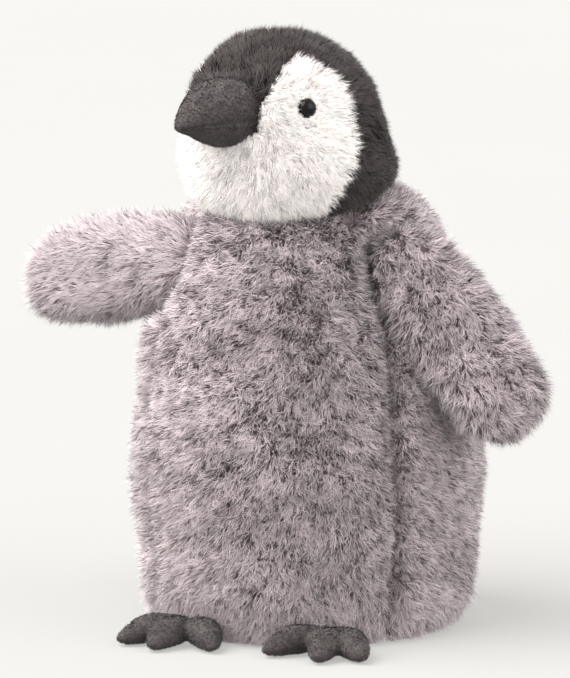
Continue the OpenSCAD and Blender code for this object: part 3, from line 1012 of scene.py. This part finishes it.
def nap(obj, name, body, seed, shade=no_shade):
    """Very short dark fibres that soften the outline of the suede."""
    def over(points, normals):
        return turned(on_surface(np.tile([0.0, -0.3, -1.0], (len(points), 1)), normals), normals,
                      noise(points, 9 * MM, seed) * 1.2)

    def length(points, normals):
        return np.full(len(points), NAP_LENGTH)

    def rise(points, normals):
        return np.full(len(points), NAP_RISE)

    grow(name, Skin(obj), body, NAP_PILE, per_mm2=7.0, weight=everywhere, comb=over,
         length=length, rise=rise, shade=shade, width=0.18, tuft_size=0.35, each=5, seed=seed)


def build_eyes():
    for side in SIDES:
        for node, material in (("eye_" + side, EYE), ("eye_washer_" + side, WASHER)):
            paint(node, material)


def paint(node, material):
    """A carried-over CAD node gets a better material."""
    obj = frame["nodes"][node]
    obj.data.materials.clear()
    obj.data.materials.append(material)


# ------------------------------------------------------------------ wings

# Degrees from level at rest
WING_SLOPE = {"left": -58.0, "right": -13.0}
WING_LENGTH = 61.5 * MM
WING_TIP = 16.5 * MM
WING_ROOT = 17.5 * MM
WING_BULGE = 2.6 * MM
WING_HALF = 7.5 * MM
ROOT_SINK = 3 * MM
WING_DROOP = 1.3 * MM
# Painted shade over each wing's pile, more on the raised right wing, which faces away from the key
# lamp
WING_SHADE = {"left": 0.15, "right": 0.42}
WING_ENDS = (-WING_ROOT, WING_LENGTH + WING_TIP)
WING_PILE_LENGTH = 7.0


def wing_half_width(x):
    """Half the wing's width at x along it from the pivot."""
    share = np.clip(x / WING_LENGTH, 0, 1)
    middle = WING_ROOT + (WING_TIP - WING_ROOT) * share + WING_BULGE * np.sin(share * math.pi)
    tip = np.sqrt(np.clip(1 - (np.clip(x - WING_LENGTH, 0, None) / WING_TIP) ** 2, 0, 1))
    root = np.sqrt(np.clip(1 - (np.clip(-x, 0, None) / WING_ROOT) ** 2, 0, 1))
    return middle * tip * root


def wing_axes(side):
    """The pivot, and as rows the ways along the wing, across it and out of its face."""
    pivot, out, level, up = wing_frame(side)
    slope = math.radians(WING_SLOPE[side])
    along = level * math.cos(slope) + up * math.sin(slope)
    return pivot, np.stack([along, np.cross(out, along), out])


def wing_skin(side):
    pivot, axes = wing_axes(side)
    droop = math.copysign(WING_DROOP, axes[1, 2])
    around = 56
    start, end = WING_ENDS
    x = (start + end) / 2 - np.cos(np.linspace(0, math.pi, 42)) * (end - start) / 2
    angles = np.linspace(0, 2 * math.pi, around, endpoint=False)
    c, s = superellipse(angles, 0.85)
    vertices = []
    for at in x[1:-1]:
        half = wing_half_width(at)
        thick = WING_HALF * min(1.0, (half / WING_ROOT) ** 0.5)
        vertices += list(np.stack([np.full(around, at), c * half - droop, s * thick], 1))
    vertices += [(start, -droop, 0), (end, -droop, 0)]
    name = side + "_wing"
    faces = loft_faces(len(x) - 2, around)
    obj = make_object(name + "_skin", np.array(vertices), faces, BODY_BACKING)
    flip_faces(obj)
    local = coordinates(obj)
    edge = bump(local[:, 2], 1.2 * MM)
    stuffed(obj, edge, 3.0, 2 * MM)
    local = coordinates(obj)
    local[:, 2] += noise(local, 30 * MM, 61 + len(side)) * 0.9 * MM
    local[:, 2] -= (1 - smoothstep(local[:, 0], -8 * MM, 26 * MM)) * ROOT_SINK
    set_coordinates(obj, local @ axes + pivot)
    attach(obj, name)
    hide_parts(name + "_outer", name + "_inner", name + "_filling", name + "_root")
    return obj


def build_wing(side):
    obj = wing_skin(side)
    pivot, axes = wing_axes(side)
    along, across = axes[:2]

    def place(points):
        return (points - pivot) @ axes.T

    def comb(points, normals):
        local = place(points)
        way = along + across * (local[:, 1:2] / WING_TIP) * 0.75 - np.array([0, 0, 0.35])
        way = way + along * smoothstep(local[:, :1], WING_LENGTH * 0.6, WING_ENDS[1])
        swirl = noise(points, 20 * MM, 62) * 26 + noise(points, 9 * MM, 63) * 30
        return combed(way, normals, swirl)

    def length(points, normals):
        local = place(points)
        rim = np.clip(np.abs(local[:, 1]) / WING_TIP, 0, 1) ** 2
        far = smoothstep(local[:, 0], WING_LENGTH * 0.7, WING_ENDS[1])
        return WING_PILE_LENGTH + 0.6 * rim + 1.0 * far + 0.5 * noise(points, 25 * MM, 64)

    def rise(points, normals):
        return 54 + 12 * noise(points, 8 * MM, 65)

    # Painted shade: WING_SHADE all over, and more towards the root, where the wing meets the body
    def shade(points):
        return WING_SHADE[side] + 0.15 * bump(place(points)[:, 0] - 18 * MM, 26 * MM)

    grow(f"pile_{side}_wing", Skin(obj), side + "_wing", BODY_PILE, per_mm2=5.2,
         weight=everywhere, comb=comb, length=length, rise=rise, shade=shade, tuft_size=0.7, each=7,
         seed=60 + len(side))


# ------------------------------------------------------------------ feet

TOE_LENGTH = 38 * MM
INNER_TOE = 42.0
OUTER_TOE = 30.0
TOE_RADIUS = 8.1 * MM
TOE_BACK = 3 * MM


def toe_points(angle, around, rings):
    """A drop-shaped toe: narrow at the root, fat near the tip, flat underneath."""
    s = np.linspace(0.0, 1.0, rings)
    angles = np.linspace(0, 2 * math.pi, around, endpoint=False)
    tip = np.clip(1 - np.clip((s - 0.46) / 0.54, 0, 1) ** 2.0, 0, 1) ** 0.72
    fat = (0.6 + 0.4 * smoothstep(s, 0.1, 0.6)) * tip
    from_side = np.minimum(np.abs(angles - math.pi), np.minimum(angles, 2 * math.pi - angles))
    ridge = bump(from_side, 0.10)
    points = []
    for k in range(1, rings - 1):
        x, z = superellipse(angles, 0.95)
        x = x * TOE_RADIUS * fat[k] * 0.94
        z = z * TOE_RADIUS * fat[k] * np.where(z > 0, 0.80, 0.70)
        y = np.full(around, TOE_BACK - s[k] * (TOE_LENGTH + TOE_BACK))
        middle = TOE_RADIUS * (0.72 - 0.30 * smoothstep(s[k], 0.6, 1.0))
        points += list(np.stack([x * (1 + 0.05 * ridge), y, z + middle], 1))
    points += [(0, TOE_BACK, TOE_RADIUS * 0.7), (0, -TOE_LENGTH, TOE_RADIUS * 0.42)]
    return np.array(points) @ rotation((0, 0, 1), angle).T


def fused(obj):
    """Overlapping shells made one skin, and softened where they meet."""
    remesh = obj.modifiers.new("one_skin", "REMESH")
    remesh.mode = "VOXEL"
    remesh.voxel_size = 1.0 * MM
    smooth = obj.modifiers.new("soften", "SMOOTH")
    smooth.factor = 0.6
    smooth.iterations = 2
    evaluated = obj.evaluated_get(bpy.context.evaluated_depsgraph_get())
    mesh = bpy.data.meshes.new_from_object(evaluated)
    obj.modifiers.clear()
    obj.data = mesh
    mesh.polygons.foreach_set("use_smooth", [True] * len(mesh.polygons))
    mesh.update()


def build_foot(side):
    joint = JOINTS[side + "_foot_fold"]
    hinge = np.array(joint["pos_m"])
    line = unit(joint["axis"])
    splay = math.degrees(math.atan2(line[1], line[0])) - 180
    around, rings = 40, 30
    vertices, faces = [], []
    toes = (-INNER_TOE, 0, OUTER_TOE) if side == "left" else (-OUTER_TOE, 0, INNER_TOE)
    for turn in toes:
        base = len(vertices)
        vertices += list(toe_points(turn, around, rings))
        faces += [tuple(base + v for v in f) for f in loft_faces(rings - 2, around)]
    local = np.array(vertices)
    local[:, 2] = np.maximum(local[:, 2], 0.4 * MM)
    points = local @ rotation((0, 0, 1), splay).T + [hinge[0], hinge[1], 0]
    name = side + "_foot"
    obj = make_object(name + "_suede", points, faces, SUEDE)
    fused(obj)
    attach(obj, name)
    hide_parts(name + "_upper", name + "_sole", name + "_filling")
    nap(obj, name + "_nap", name, 70 + len(side))


# ------------------------------------------------------------------ pieces kept from the frame

def finish_inner_pieces():
    fibre = plain_weave_material("fibre_wadding", (0.90, 0.90, 0.87))
    pouch = plain_weave_material("pouch_cotton", (0.70, 0.68, 0.62))
    beads = moulded_material("pellet_plastic", (0.78, 0.78, 0.75))
    paint("neck_core", fibre)
    paint("pellet_pouch", pouch)
    paint("pellet_fill", beads)
    paint("closing_stitches", thread_material("closing_thread", (0.17, 0.14, 0.15)))
    paint("sewn_label", plain_weave_material("label_ribbon", (0.82, 0.81, 0.79)))


# ------------------------------------------------------------------ studio

# Camera, as the photographer stood
CAMERA_AZIMUTH = 19.5
CAMERA_ELEVATION = 10.0
CAMERA_DISTANCE = 3.2
CAMERA_LENS = 394.3
AIM_RIGHT = -9.0 * MM
AIM_UP = 119.6 * MM
FLOOR_REACH = 30.0


def view_axes(azimuth, elevation):
    """Right, up and towards the viewer, for a viewer at an azimuth from the toy's front."""
    a, e = math.radians(azimuth), math.radians(elevation)
    right = np.array([math.cos(a), math.sin(a), 0])
    towards = np.array([math.sin(a) * math.cos(e), -math.cos(a) * math.cos(e), math.sin(e)])
    return right, np.cross(towards, right), towards


def point_back(obj, right, up, towards):
    """Turns a camera or a lamp to look back from where the viewer is."""
    obj.rotation_euler = Matrix(np.stack([right, up, towards], 1).tolist()).to_euler()


def build_camera():
    right, up, towards = view_axes(CAMERA_AZIMUTH, CAMERA_ELEVATION)
    data = bpy.data.cameras.new("camera")
    data.lens = CAMERA_LENS
    data.clip_end = 50
    obj = bpy.data.objects.new("camera", data)
    bpy.context.collection.objects.link(obj)
    obj.location = right * AIM_RIGHT + up * AIM_UP + towards * CAMERA_DISTANCE
    point_back(obj, right, up, towards)
    bpy.context.scene.camera = obj


def floor_material():
    """Pale paper on a light table: partly bright by itself, so that shadows on it stay pale."""
    n = Nodes("floor_paper")
    paper = n.ramp(n.noise(3.0), [(0.3, (0.161, 0.160, 0.156)), (0.7, (0.165, 0.164, 0.160))])
    n.link(paper, "Base Color")
    n.set(Roughness=1.0, Emission_Strength=0.44)
    n.shader.inputs["Emission Color"].default_value = (1.0, 0.992, 0.955, 1)
    n.shader.inputs["Specular IOR Level"].default_value = 0.0
    return n.material


def build_studio():
    signs = ((-1, -1), (1, -1), (1, 1), (-1, 1))
    corners = [(x * FLOOR_REACH, y * FLOOR_REACH, 0) for x, y in signs]
    floor = make_object("floor", corners, [(0, 1, 2, 3)], floor_material(), smooth=False)
    world = bpy.data.worlds.new("studio")
    world.use_nodes = True
    background = world.node_tree.nodes["Background"]
    background.inputs["Color"].default_value = (1.0, 0.995, 0.98, 1)
    background.inputs["Strength"].default_value = 1.25
    bpy.context.scene.world = world
    add_sun("key", CAMERA_AZIMUTH - 74, elevation=49, strength=6.7, softness=64,
            colour=(1.0, 0.985, 0.975))
    add_sun("fill", CAMERA_AZIMUTH + 62, elevation=25, strength=1.8, softness=60,
            colour=(0.99, 0.99, 1.0))
    bpy.context.scene.view_settings.view_transform = "Standard"


def add_sun(name, azimuth, elevation, strength, softness, colour):
    data = bpy.data.lights.new(name, "SUN")
    data.energy = strength
    data.angle = math.radians(softness)
    data.color = colour
    obj = bpy.data.objects.new(name, data)
    bpy.context.collection.objects.link(obj)
    right, up, towards = view_axes(azimuth, elevation)
    point_back(obj, right, up, towards)


build_camera()
build_studio()
build_torso()
build_head()
build_beak()
build_eyes()
for wing in SIDES:
    build_wing(wing)
for foot in SIDES:
    build_foot(foot)
finish_inner_pieces()
